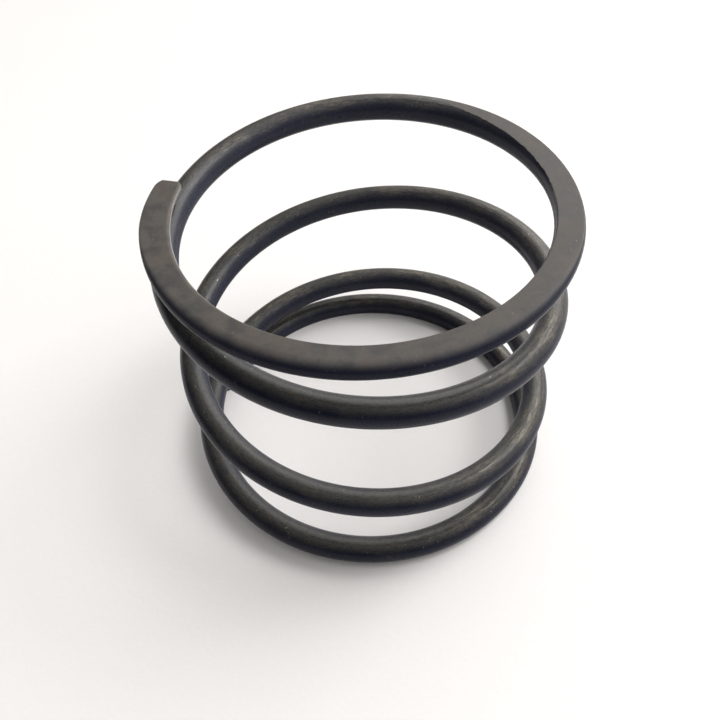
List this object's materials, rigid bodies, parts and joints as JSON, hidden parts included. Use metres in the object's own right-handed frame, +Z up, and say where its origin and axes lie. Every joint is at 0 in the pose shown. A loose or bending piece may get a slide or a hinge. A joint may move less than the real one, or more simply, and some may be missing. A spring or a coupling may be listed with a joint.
{
  "type": "compression spring",
  "caption": "Short round-wire compression spring, wound left-hand with closed ends ground flat, in worn black-oxide steel.",
  "frame": {"origin": "on the coil axis, at the centre of the bottom ground face", "axes": "+Z up along the coil axis from the bottom ground end to the top ground end; +X to the right and -Y towards the viewer, with both wire tips at the left"},
  "size_m": [0.044, 0.044, 0.0355],
  "materials": {
    "spring_wire": "black oxide, rubbed to bare steel in small specks, with grey-brown ground ends"
  },
  "bodies": {
    "root": {"compression_spring": "spring_wire"}
  },
  "joints": []
}
